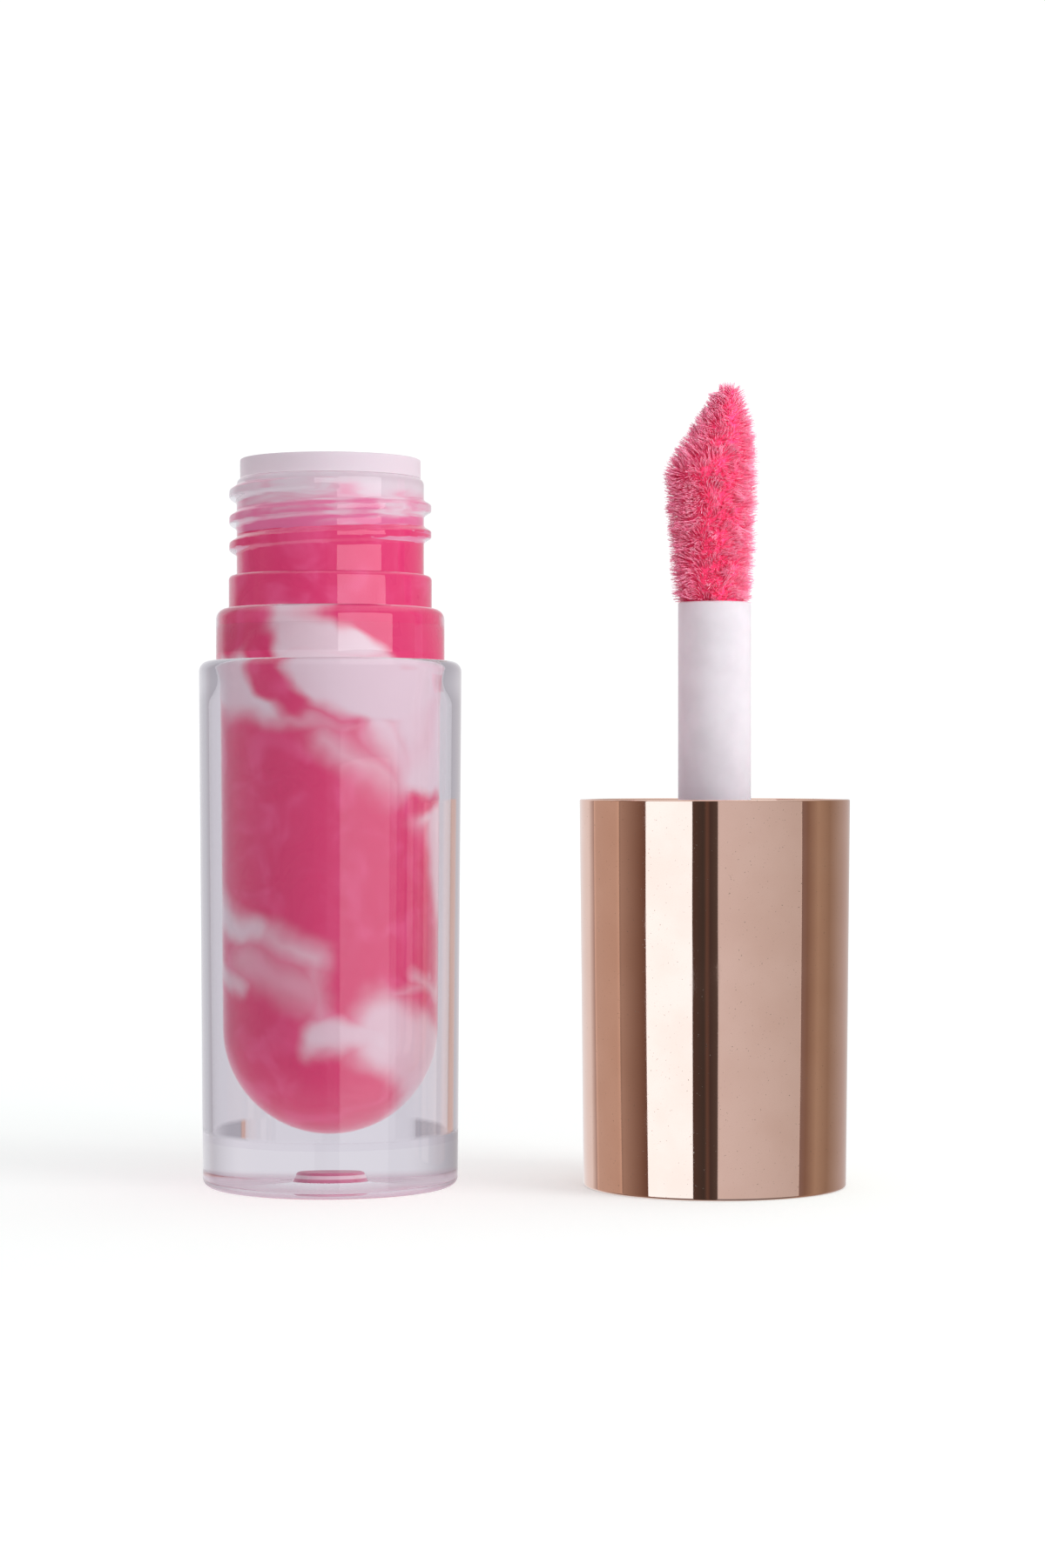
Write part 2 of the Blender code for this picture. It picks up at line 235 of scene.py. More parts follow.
stage = {
    "cameraDistance": 249.2,   # millimetres from the two axes
    "cameraHeight": 31.2,
    "cameraX": -0.15,
    "tilt": 0.15,              # degrees down
    "lens": 75.0,
    "sensorWidth": 36,
    "clip": (0.01, 50),        # metres
    "floorSize": 12.0,         # metres
    "floorGap": 0.00002,
    "floorFade": (25, 400),    # millimetres out from the middle
    "floorColour": (0.86, 0.905, 0.872),
    "floorGlow": (0.36, 0.52),  # under the object, and far off
    "key": {"azimuth": 62, "height": 0.22, "distance": 0.62, "width": 0.35, "tall": 0.45,
            "power": 1.6},
    "keyTarget": 0.03,         # metres up
    "flockLamp": {"azimuth": 38, "height": 0.15, "distance": 0.6, "width": 0.9, "tall": 0.6,
                  "power": 8.0},
    "flockTarget": 0.052,
    # panels that show in some pieces only: from and to angle, lowest and highest edge
    # in metres, brightness and colour
    "capBright": (-63.5, -22, -0.5, 0.5, 1.4, (0.66, 0.87, 1.0)),
    "capFill": (-0.5, 76, -0.5, 0.5, 0.38, (1.0, 1.0, 1.0)),
    "capWarm": (-128, -92, -0.5, 0.5, 0.28, (1.0, 0.78, 0.64)),
    "neckBright": (11, 68, 0.082, 0.5, 2.0, (1.0, 1.0, 1.0)),
    "sleeveSoft": (11, 56, -0.4, 0.08, 0.62, (1.0, 1.0, 1.0)),
    "behindPlastic": (0.75, 0.73, 0.79),
    "besidePlastic": (0.42, 0.40, 0.45),
    "beforePlastic": (0.24, 0.21, 0.23),
    "sideways": (0.45, 0.98), "forwards": (-0.1, -0.7), "ceiling": (0.45, 0.8),
    "backdrop": (1.05, 1.05, 1.05),
    "domeLeft": (0.34, 0.33, 0.35), "domeRight": (0.92, 0.92, 0.94),
}

# What the metal sees round the horizon, in degrees from the camera's side towards +X.
horizonBands = [
    (-180, (0.90, 0.90, 0.92)), (-139, (0.86, 0.86, 0.88)), (-130, (0.50, 0.42, 0.40)),
    (-125, (0.24, 0.20, 0.19)), (-96, (0.22, 0.17, 0.15)),
    (-90, (0.40, 0.30, 0.25)), (-68, (0.20, 0.12, 0.09)),
    (-63, (0.15, 0.09, 0.07)), (-25, (0.12, 0.09, 0.08)), (-21, (0.09, 0.06, 0.05)),
    (-12, (0.06, 0.05, 0.045)), (-9.5, (0.15, 0.09, 0.07)), (-7, (0.07, 0.05, 0.045)),
    (-1, (0.10, 0.08, 0.07)), (0.5, (0.27, 0.27, 0.30)), (75, (0.13, 0.12, 0.12)),
    (77, (0.26, 0.19, 0.17)), (83, (0.25, 0.17, 0.13)), (96, (0.42, 0.33, 0.25)),
    (112, (0.32, 0.24, 0.18)), (128, (0.42, 0.36, 0.32)), (142, (0.50, 0.44, 0.42)),
    (160, (0.60, 0.55, 0.54)), (180, (0.90, 0.90, 0.92)),
]


def makeCamera():
    data = bpy.data.cameras.new("camera")
    data.lens = stage["lens"]
    data.sensor_width = stage["sensorWidth"]
    data.clip_start, data.clip_end = stage["clip"]
    camera = bpy.data.objects.new("camera", data)
    bpy.context.scene.collection.objects.link(camera)
    camera.location = (stage["cameraX"] * mm, -stage["cameraDistance"] * mm,
                       stage["cameraHeight"] * mm)
    camera.rotation_euler = (math.radians(90 - stage["tilt"]), 0, 0)
    bpy.context.scene.camera = camera


def makeFloor():
    shape = bmesh.new()
    bmesh.ops.create_grid(shape, x_segments=2, y_segments=2, size=stage["floorSize"] / 2)
    mesh = bpy.data.meshes.new("floor")
    shape.to_mesh(mesh)
    shape.free()
    floor = bpy.data.objects.new("floor", mesh)
    bpy.context.scene.collection.objects.link(floor)
    floor.location = (0, 0, ground * mm - stage["floorGap"])
    material, tree = newMaterial("floorPaper")
    near, far = stage["floorGlow"]
    away = ramp(tree, fromAxis(tree, objectPlace(tree, (0, 0, 0))), *stage["floorFade"])
    shader = addNode(tree, "ShaderNodeBsdfPrincipled", {}, {
        "Base Color": rgba(stage["floorColour"]), "Roughness": 0.9,
        "Specular IOR Level": 0.0, "Emission Strength": 1.0,
        "Emission Color": mixColour(tree, away, (near, near, near, 1), (far, far, far, 1))})
    showShader(tree, output(shader))
    mesh.materials.append(material)
    floor.visible_glossy = False   # the metal and the plastic show the room, not the paper
    floor.visible_transmission = False


def makeWorld():
    world = bpy.data.worlds.new("studio")
    bpy.context.scene.world = world
    world.use_nodes = True
    tree = world.node_tree
    tree.nodes.clear()
    direction = output(addNode(tree, "ShaderNodeTexCoord"), "Generated")
    parts = addNode(tree, "ShaderNodeSeparateXYZ", {}, {0: direction})
    x, y, z = output(parts, 0), output(parts, 1), output(parts, 2)
    around = maths("ARCTAN2", x, 0 - y)
    stops = [((degrees + 180) / 360, colour) for degrees, colour in horizonBands]
    bands = addNode(tree, "ShaderNodeValToRGB", {"stops": stops},
                    {0: around / (2 * math.pi) + 0.5})
    room = mixColour(tree, ramp(tree, z, *stage["ceiling"]), output(bands), rgba((1, 1, 1)))
    sideways = ramp(tree, maths("ABSOLUTE", x), *stage["sideways"])
    through = mixColour(tree, sideways, rgba(stage["behindPlastic"]),
                        rgba(stage["besidePlastic"]))
    through = mixColour(tree, ramp(tree, y, *stage["forwards"]), through,
                        rgba(stage["beforePlastic"]))
    dome = mixColour(tree, ramp(tree, x, -1.0, 1.0), rgba(stage["domeLeft"]),
                     rgba(stage["domeRight"]))
    path = addNode(tree, "ShaderNodeLightPath")
    shown = mixColour(tree, output(path, "Transmission Depth"), room, through)
    shown = mixColour(tree, output(path, "Is Diffuse Ray"), shown, dome)
    shown = mixColour(tree, output(path, "Is Camera Ray"), shown, rgba(stage["backdrop"]))
    background = addNode(tree, "ShaderNodeBackground", {}, {"Color": shown, "Strength": 1.0})
    addNode(tree, "ShaderNodeOutputWorld", {}, {"Surface": output(background)})


def makeLamp(name, target, azimuth, height, distance, width, tall, power, **seenBy):
    # a soft panel facing a point, azimuth in degrees from the camera's side towards +X
    data = bpy.data.lights.new(name, "AREA")
    data.shape = "RECTANGLE"
    data.size = width
    data.size_y = tall
    data.energy = power
    lamp = bpy.data.objects.new(name, data)
    bpy.context.scene.collection.objects.link(lamp)
    turn = math.radians(azimuth)
    place = Vector((target[0] + distance * math.sin(turn),
                    target[1] - distance * math.cos(turn), target[2] + height))
    lamp.location = place
    lamp.rotation_euler = (Vector(target) - place).to_track_quat("-Z", "Y").to_euler()
    lamp.visible_camera = False
    for flag, value in seenBy.items():
        setattr(lamp, flag, value)
    return lamp


def makePanel(name, axisX, pieces):
    # a panel one metre off an axis, which shows only in these pieces
    fromAngle, toAngle, low, high, brightness, colour = stage[name]
    width = 2 * math.tan(math.radians(toAngle - fromAngle) / 2)
    panel = makeLamp(name, (axisX, 0, (low + high) / 2), (fromAngle + toAngle) / 2, 0, 1.0,
                     width, high - low, 4 * width * (high - low) * brightness,
                     visible_diffuse=False, visible_transmission=False)
    panel.data.color = colour
    showOnly(panel, pieces)


def showOnly(lamp, pieces):
    group = bpy.data.collections.new(lamp.name + "Pieces")
    for piece in pieces:
        group.objects.link(piece)
    lamp.light_linking.receiver_collection = group


foot = {   # pairs are where a soft edge starts and ends, in millimetres
    "gateLow": (0.7, 0.76), "gateHigh": (1.6, 1.55), "gateEdge": (2.2, 2.0),
    "bandLow": (0.96, 1.04), "bandHigh": (1.3, 1.22), "rubbedAndGlossLit": (0.95, 0.1),
    "wetLow": (3.4, 3.45), "wetHigh": (4.5, 4.0), "wetEdge": (9.3, 9.2),
    "gateRoughness": 0.3, "gateCover": 0.8,
    # the pinks below are painted light: the gloss's colour as scattered by the matt gate mark and
    # by the foot's matt bottom. The gate's paler band is painted too
    "gatePink": (0.62, 0.12, 0.27), "gatePale": (0.85, 0.62, 0.72), "pink": (0.66, 0.38, 0.50),
}


def clearPlastic(name, centre, tint, withFoot=False):
    # refracts for the camera, and lets the lamps and bounced light straight through
    material, tree = newMaterial(name)
    place = objectPlace(tree, centre)
    smudge = noise(tree, place, 0.35, 3.0)
    rough = ramp(tree, smudge, 0.5, 0.8, 0.0, 0.03)
    if withFoot:
        height = output(addNode(tree, "ShaderNodeSeparateXYZ", {}, {0: place}), 2)
        radius = fromAxis(tree, place)
        # where the matt gate mark is painted with the gloss's pink light
        gate = (ramp(tree, height, *foot["gateLow"]) * ramp(tree, height, *foot["gateHigh"])
                * ramp(tree, radius, *foot["gateEdge"]))
        band = ramp(tree, height, *foot["bandLow"]) * ramp(tree, height, *foot["bandHigh"])
        # the foot's bottom edge: real wear that turns it matt, and a painted pink glow of the
        # gloss on it
        rubbedAndGlossLit = ramp(tree, height, *foot["rubbedAndGlossLit"]) * (0.25 + 0.5 * smudge)
        rough = maths("MAXIMUM", rough, gate * foot["gateRoughness"])
    shader = addNode(tree, "ShaderNodeBsdfPrincipled", {}, {
        "Base Color": mixColour(tree, smudge, rgba([part * 0.985 for part in tint]), rgba(tint)),
        "IOR": 1.49, "Transmission Weight": 1.0, "Roughness": rough})
    path = addNode(tree, "ShaderNodeLightPath")
    straight = maths("MAXIMUM", output(path, "Is Shadow Ray"), output(path, "Is Diffuse Ray"))
    if withFoot:
        # the cavity's floor sits wet against the bottle, so it neither bends nor mirrors
        wet = (ramp(tree, height, *foot["wetLow"]) * ramp(tree, height, *foot["wetHigh"])
               * ramp(tree, radius, *foot["wetEdge"]))
        straight = maths("MAXIMUM", straight, wet)
    unbent = addNode(tree, "ShaderNodeBsdfTransparent", {},
                     {"Color": rgba([part ** 0.5 for part in tint])})
    body = output(shader)
    if withFoot:
        # the matt gate mark and the worn foot are painted with the gloss's pink: a painted glow
        # that stands in for the gloss's light scattered through the matt plastic
        mark = mixColour(tree, band, rgba(foot["gatePink"]), rgba(foot["gatePale"]))
        paintedGlossLight = addNode(tree, "ShaderNodeBsdfPrincipled", {}, {
            "Base Color": mixColour(tree, gate, rgba(foot["pink"]), mark),
            "Roughness": 0.5})
        body = output(addNode(tree, "ShaderNodeMixShader", {}, {
            0: maths("MAXIMUM", gate * foot["gateCover"], rubbedAndGlossLit), 1: body, 2: output(paintedGlossLight)}))
    showShader(tree, output(addNode(tree, "ShaderNodeMixShader", {},
                                    {0: straight, 1: body, 2: output(unbent)})))
    return material


def fromAxis(tree, place):
    # distance from the upright axis
    flat = addNode(tree, "ShaderNodeVectorMath", {"operation": "MULTIPLY"},
                   {0: place, 1: (1, 1, 0)})
    return output(addNode(tree, "ShaderNodeVectorMath", {"operation": "LENGTH"},
                          {0: output(flat)}), "Value")


swirl = {
    "perDegree": 0.1286,       # millimetres of wall in a degree
    "folds": [(0.2, 3.0), (0.7, 0.4)],
    "cloudScale": 0.2, "pitch": 19.0, "waver": 0.9,
    "back": (98, 122),         # degrees round from the front where the ribbons take over
    "ribbonEdge": (0.5, 0.9), "streakScale": 0.32,
    "pink": (0.73, 0.045, 0.17), "palerPink": (0.79, 0.085, 0.24), "white": (0.80, 0.62, 0.70),
    # whiteness, start and end in degrees round from the front and millimetres up,
    # half width and softness in millimetres; a stroke of 0 paints pink over white
    "strokes": [
        (1.0, (-30, 41.9), (0, 41.2), 1.7, 0.8), (1.0, (-60, 38.6), (66, 37.4), 3.1, 1.2),
        (1.0, (60, 38.0), (72, 30.6), 3.5, 1.5), (0.85, (84, 29.0), (80, 22.0), 1.5, 1.2),
        (1.0, (4, 41.0), (40, 41.8), 1.4, 0.9), (0.9, (30, 36.0), (52, 30.5), 1.4, 1.6),
        (0, (-98, 42.4), (-64, 42.4), 2.2, 0.6), (0, (25, 45.1), (51, 41.8), 2.3, 0.5),
        (0, (62, 42.6), (100, 40.2), 2.4, 0.5),
        (0, (-41, 41.0), (-32, 38.6), 1.5, 0.6), (0, (-32, 38.6), (-16, 36.2), 0.9, 0.6),
        (0, (-16, 36.2), (20, 35.0), 0.4, 0.9),
        (0, (-88, 32.0), (-40, 30.4), 1.9, 1.6),
        (0, (-60, 29.6), (14, 27.2), 3.5, 1.5), (0, (36, 27.0), (60, 28.9), 1.0, 0.8),
        (0, (60, 28.9), (92, 29.4), 0.8, 0.7),
        (0, (0, 24.0), (50, 20.5), 3.4, 1.4),
        (0.9, (-92, 21.8), (-42, 19.4), 1.1, 1.1), (0.75, (-42, 19.4), (-4, 17.4), 0.9, 1.4),
        (0.7, (-76, 16.4), (-54, 15.2), 0.8, 0.7), (0.5, (-50, 17.2), (-10, 14.8), 1.4, 1.4),
        (0.55, (-4, 17.4), (-5, 12.4), 0.6, 1.2), (0.95, (-3, 12.0), (34, 11.6), 1.1, 0.8),
        (0.9, (36, 12.0), (80, 9.2), 2.7, 1.3), (0.6, (56, 16.4), (84, 14.8), 0.4, 0.6),
        (0.45, (34, 14.6), (70, 16.2), 0.3, 0.5), (0.65, (0, 33.8), (42, 30.2), 0.8, 1.5),
    ],
}


def stroke(tree, spot, start, end, halfWidth, soft):
    # how far inside a soft-edged stroke a spot of the unrolled wall is
    first = Vector((start[0] * swirl["perDegree"], start[1], 0))
    run = Vector((end[0] * swirl["perDegree"], end[1], 0)) - first
    off = output(addNode(tree, "ShaderNodeVectorMath", {"operation": "SUBTRACT"},
                         {0: spot, 1: first}))
    share = output(addNode(tree, "ShaderNodeVectorMath", {"operation": "DOT_PRODUCT"},
                           {0: off, 1: run / run.length_squared}), "Value")
    along = output(addNode(tree, "ShaderNodeVectorMath", {"operation": "SCALE"},
                           {0: run, "Scale": ramp(tree, share, 0, 1, smooth=False)}))
    gap = output(addNode(tree, "ShaderNodeVectorMath", {"operation": "DISTANCE"},
                         {0: off, 1: along}), "Value")
    return ramp(tree, gap, halfWidth + soft, halfWidth - soft)


def swirledGloss(name, centre):
    # white strokes folded into pink at the front, and helical ribbons round the back
    material, tree = newMaterial(name)
    place = objectPlace(tree, centre)
    parts = addNode(tree, "ShaderNodeSeparateXYZ", {}, {0: place})
    x, y, z = output(parts, 0), output(parts, 1), output(parts, 2)
    around = maths("ARCTAN2", x, 0 - y)
    flat = output(addNode(tree, "ShaderNodeCombineXYZ", {},
                          {0: around * (math.degrees(1) * swirl["perDegree"]), 1: z}))
    for scale, reach in swirl["folds"]:
        fold = addNode(tree, "ShaderNodeTexNoise", {"noise_dimensions": "3D"},
                       {"Vector": place, "Scale": scale, "Detail": 2.0})
        push = addNode(tree, "ShaderNodeVectorMath", {"operation": "MULTIPLY_ADD"},
                       {0: output(fold, "Color"), 1: (reach, reach, 0),
                        2: (-reach / 2, -reach / 2, 0)})
        flat = output(addNode(tree, "ShaderNodeVectorMath", {"operation": "ADD"},
                              {0: flat, 1: output(push)}))
    white = 0
    for tone, start, end, halfWidth, soft in swirl["strokes"]:
        inside = stroke(tree, flat, start, end, halfWidth, soft)
        if tone:
            white = maths("MAXIMUM", inside * tone, white)
        else:
            white = white * (1 - inside)
    cloud = noise(tree, place, swirl["cloudScale"], 0.6, 0.3)
    turns = z / swirl["pitch"] + around / (2 * math.pi) + cloud * swirl["waver"]
    wave = maths("SINE", turns * (2 * math.pi)) * 0.5 + 0.5
    backFrom, backTo = swirl["back"]
    behind = ramp(tree, maths("ABSOLUTE", around), math.radians(backFrom), math.radians(backTo))
    ribbons = ramp(tree, wave, *swirl["ribbonEdge"]) * behind
    white = maths("MAXIMUM", white * (0.72 + 0.5 * cloud), ribbons)
    white = ramp(tree, white, 0.0, 1.0, smooth=False)
    streak = noise(tree, place, swirl["streakScale"], 2.0, 0.8)
    pink = mixColour(tree, ramp(tree, streak, 0.45, 0.75), rgba(swirl["pink"]),
                     rgba(swirl["palerPink"]))
    shader = addNode(tree, "ShaderNodeBsdfPrincipled", {}, {
        "Base Color": mixColour(tree, white, pink, rgba(swirl["white"])),
        "Roughness": ramp(tree, streak, 0.3, 0.7, 0.25, 0.4), "Specular IOR Level": 0.15})
    showShader(tree, output(shader))
    return material


def satinPlastic(name, centre, colour, roughness, soft=0.0, grain=0.15):
    material, tree = newMaterial(name)
    place = objectPlace(tree, centre)
    cloud = noise(tree, place, 0.5, 3.0)
    darker = [part * 0.94 for part in colour]
    shader = addNode(tree, "ShaderNodeBsdfPrincipled", {}, {
        "Base Color": mixColour(tree, ramp(tree, cloud, 0.3, 0.7), rgba(darker), rgba(colour)),
        "Roughness": ramp(tree, cloud, 0.3, 0.7, roughness, roughness + 0.08),
        "Subsurface Weight": soft, "Subsurface Radius": (0.9, 0.6, 0.7),
        "Subsurface Scale": mm,
        "Normal": bumped(tree, noise(tree, place, 6.0, 2.0), grain, 0.00001)})
    showShader(tree, output(shader))
    return material


metal = {
    "shine": ((0.80, 0.53, 0.43), (0.84, 0.57, 0.47)), "roughness": (0.03, 0.09),
    "speck": (0.45, 0.33, 0.27), "speckRoughness": 0.25, "waveStretch": 0.12,
}


def roseGold(name, centre):
    # polished, with faint waves along it, fine specks and worn patches
    material, tree = newMaterial(name)
    place = objectPlace(tree, centre)
    cloud = noise(tree, place, 0.25, 4.0)
    speck = ramp(tree, noise(tree, place, 7.0, 1.0), 0.72, 0.78)
    drawn = addNode(tree, "ShaderNodeMapping", {"vector_type": "POINT"},
                    {"Vector": place, "Scale": (1.0, 1.0, metal["waveStretch"])})
    wave = noise(tree, output(drawn), 0.28, 2.0)
    shine = mixColour(tree, ramp(tree, cloud, 0.3, 0.7), *map(rgba, metal["shine"]))
    shader = addNode(tree, "ShaderNodeBsdfPrincipled", {}, {
        "Base Color": mixColour(tree, speck, shine, rgba(metal["speck"])),
        "Metallic": 1.0,
        "Roughness": (ramp(tree, cloud, 0.5, 0.8, *metal["roughness"])
                      + speck * metal["speckRoughness"]),
        "Normal": bumped(tree, wave, 0.5, 0.00002)})
    showShader(tree, output(shader))
    return material


flock = {
    "skin": ((0.80, 0.05, 0.15), (0.90, 0.09, 0.24)), "root": (0.84, 0.09, 0.24),
    # fibres darken towards the root and pale to near white at the ends: painted shade deep in the
    # pile and painted light on the ends
    "ends": ((1.0, 0.34, 0.55), (1.0, 0.72, 0.86)),
    # a faint painted glow in the fibres, standing in for light scattered through the pile
    "glow": (1.0, 0.12, 0.30), "glowStrength": 0.045,
    "through": (1.0, 0.3, 0.5), "throughShare": 0.3,
}


def flockSkin(name, centre):
    material, tree = newMaterial(name)
    place = objectPlace(tree, centre)
    fuzz = noise(tree, place, 7.0, 3.0)
    shader = addNode(tree, "ShaderNodeBsdfPrincipled", {}, {
        "Base Color": mixColour(tree, ramp(tree, fuzz, 0.35, 0.7), *map(rgba, flock["skin"])),
        "Roughness": 0.9, "Specular IOR Level": 0.1,
        "Normal": bumped(tree, fuzz, 0.6, 0.0001)})
    showShader(tree, output(shader))
    return material


def flockFibre(name, centre):
    material, tree = newMaterial(name)
    place = objectPlace(tree, centre)
    strand = ramp(tree, noise(tree, place, 2.5, 2.0), 0.35, 0.7)
    along = output(addNode(tree, "ShaderNodeAttribute", {"attribute_name": "along"}), "Fac")
    ends = mixColour(tree, strand, *map(rgba, flock["ends"]))
    shader = addNode(tree, "ShaderNodeBsdfPrincipled", {}, {
        # darker root and paler ends: painted shade in the pile and painted light on the fibre
        # ends
        "Base Color": mixColour(tree, along, rgba(flock["root"]), ends),
        "Roughness": 0.5, "Specular IOR Level": 0.2,
        # the fibres' painted glow
        "Emission Color": rgba(flock["glow"]), "Emission Strength": flock["glowStrength"]})
    through = addNode(tree, "ShaderNodeBsdfTranslucent", {}, {"Color": rgba(flock["through"])})
    mixed = addNode(tree, "ShaderNodeMixShader", {},
                    {0: flock["throughShare"], 1: output(shader), 2: output(through)})
    showShader(tree, output(mixed))
    return material


stain = {
    "waver": 6.0, "heights": (53.2, 49.8),   # millimetres up, from dry to wet
    "dry": (0.74, 0.63, 0.70), "wet": (0.76, 0.15, 0.34),
    "slant": 0.5, "stretch": (0.35, 0.35, 1.2),
}


def stainedPlastic(name, centre):
    # the wiper: pale where dry, and streaked with gloss further down
    material, tree = newMaterial(name)
    place = objectPlace(tree, centre)
    height = output(addNode(tree, "ShaderNodeSeparateXYZ", {}, {0: place}), 2)
    smear = addNode(tree, "ShaderNodeMapping", {"vector_type": "POINT"},
                    {"Vector": place, "Rotation": (0.0, stain["slant"], 0.0),
                     "Scale": stain["stretch"]})
    streak = noise(tree, output(smear), 0.5, 3.0, 0.8)
    wet = ramp(tree, height + (streak - 0.5) * stain["waver"], *stain["heights"])
    colour = mixColour(tree, wet, rgba(stain["dry"]), rgba(stain["wet"]))
    shader = addNode(tree, "ShaderNodeBsdfPrincipled", {}, {
        "Base Color": colour, "Roughness": ramp(tree, streak, 0.3, 0.7, 0.28, 0.4),
        "Subsurface Weight": 0.3, "Subsurface Radius": (0.9, 0.6, 0.7), "Subsurface Scale": mm,
        "Normal": bumped(tree, streak, 0.1, 0.00002)})
    showShader(tree, output(shader))
    return material


bottle = {
    "footRadius": 9.72, "wall": 0.73, "shoulder": 0.8, "footRound": 0.7,
    "mouth": 8.76, "mouthRound": 0.1, "mouthDepth": 0.5, "throat": 3.4,
    "floor": 3.5, "floorRound": 0.8,
    "gateRadius": 1.9, "gateTop": 1.5, "gateRound": 0.25, "gateTaper": 0.15,
    "dimple": 0.5, "dimpleDepth": 0.1, "recess": 5.2, "recessTop": 0.75,
    "bodyTop": 8.37, "bodyLow": 8.2, "bodyWall": 1.0, "collarDrop": 0.6, "shoulderRun": 2.1,
    "ringTwo": 8.7, "ringTwoTop": 43.9, "ringTwoRound": 0.85,
    "ringOne": 7.74, "ringOneTop": 46.4, "ringOneRound": 0.35,
    "neck": 7.13, "neckRound": 0.45, "bore": 5.9, "boreStart": 42.6,
    "pitch": 2.0, "threadRise": 0.57, "threadWidth": 0.72, "crest": 0.28, "threadEnd": 280,
    "threadEndHeight": 53.1, "threadTurns": 2.42, "threadFade": 22, "threadStart": 0.2,
}


def makeSleeve(material):
    b = bottle
    outline = [(0, b["gateTop"] - b["dimpleDepth"]), (b["dimple"], b["gateTop"])]
    outline += roundStretch(b["gateRadius"] - b["gateTaper"] - b["gateRound"],
                            b["gateTop"] - b["gateRound"], b["gateRound"], 90, 0, 5)
    outline += easedStretch(b["gateRadius"], b["recessTop"], b["recess"], ground, 8)
    outline += roundStretch(b["footRadius"] - b["footRound"], b["footRound"], b["footRound"],
                            -90, 0, 10)
    outline += roundStretch(sleeveRadius - b["shoulder"], sleeveTop - b["shoulder"],
                            b["shoulder"], 0, 90, 10)
    outline += roundStretch(b["mouth"] + b["mouthRound"], sleeveTop - b["mouthRound"],
                            b["mouthRound"], 90, 180, 3)
    outline += easedStretch(b["mouth"], sleeveTop - b["mouthDepth"], sleeveRadius - b["wall"],
                            sleeveTop - b["throat"], 8)
    lowInside = b["footRadius"] - b["wall"]
    corner = b["floorRound"]
    outline += roundStretch(lowInside - corner, b["floor"] + corner, corner, 0, -90, 8)
    outline += [(0, b["floor"])]
    piece = spun("clearSleeve", outline, bottleX, material, "bottle")
    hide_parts("outer_sleeve")
    return piece


def threadSwell(wallRadius, crest, end, endHeight, turns, low, high):
    # raises a screw ridge off a wall; its crest is negative where it stands inwards
    b = bottle

    def swell(angle, radius, height):
        most = 0.0
        back = (end - math.degrees(angle)) % 360
        while abs(radius - wallRadius) < 0.01 and low < height < high and back < 360 * turns:
            centre = endHeight - b["pitch"] * back / 360
            fade = rise(0, b["threadFade"], min(back, 360 * turns - back))
            off = abs(height - centre) / b["threadWidth"]
            most = max(most, fade * (1 - rise(b["crest"], 1.0, off)))
            back += 360
        radius += most * crest
        return Vector((radius * math.cos(angle), radius * math.sin(angle), height))
    return swell


def chamberOutline(inset):
    # the chamber, from its lowest point up to the foot of the bore
    b = bottle
    outline = roundStretch(0, bottleLow + b["bodyLow"], b["bodyLow"] - b["bodyWall"] - inset,
                           -90, 0, 20)
    outline += [(b["bodyTop"] - b["bodyWall"] - inset, b["boreStart"] - b["shoulderRun"]),
                (b["bore"] - inset, b["boreStart"])]
    return outline


def makeInnerBottle(material):
    b = bottle
    collar = sleeveTop - b["collarDrop"]
    outline = roundStretch(0, bottleLow + b["bodyLow"], b["bodyLow"], -90, 0, 24)
    outline += easedStretch(b["bodyTop"], sleeveTop - b["throat"], b["ringTwo"], collar, 8)
    outline += roundStretch(b["ringTwo"] - b["ringTwoRound"], b["ringTwoTop"] - b["ringTwoRound"],
                            b["ringTwoRound"], 0, 90, 8)
    outline += [(b["ringOne"], b["ringTwoTop"])]
    outline += roundStretch(b["ringOne"] - b["ringOneRound"], b["ringOneTop"] - b["ringOneRound"],
                            b["ringOneRound"], 0, 90, 5)
    rows = 74
    neckLow, neckHigh = b["ringOneTop"], neckTop - b["neckRound"]
    outline += [(b["neck"], neckLow + (neckHigh - neckLow) * row / rows) for row in range(rows)]
    outline += roundStretch(b["neck"] - b["neckRound"], neckHigh, b["neckRound"], 0, 90, 6)
    outline += [(b["bore"], neckTop)]
    outline += chamberOutline(0)[::-1]
    swell = threadSwell(b["neck"], b["threadRise"], b["threadEnd"], b["threadEndHeight"],
                        b["threadTurns"], neckLow + b["threadStart"], neckHigh)
    piece = spun("innerBottle", outline, bottleX, material, "bottle",
                 sides=180, reshape=swell)
    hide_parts("inner_bottle")
    return piece


wiper = {
    "mouth": 4.7, "mouthRound": 0.35, "orifice": 2.7, "plugEnd": 49.2, "lip": 0.12,
    "snug": 0.02,              # how far a wet or pressed skin laps its neighbour
    "funnel": [(4.5, 50.0), (3.5, 48.8)], "nozzle": 1.3, "nozzleWall": 0.7,
    "skirt": 4.3, "skirtRise": 0.6, "fillRise": 0.4, "fillInside": 4.4, "fillNozzle": 1.0,
    "fillBelow": 0.3, "fillLap": 0.03,
}


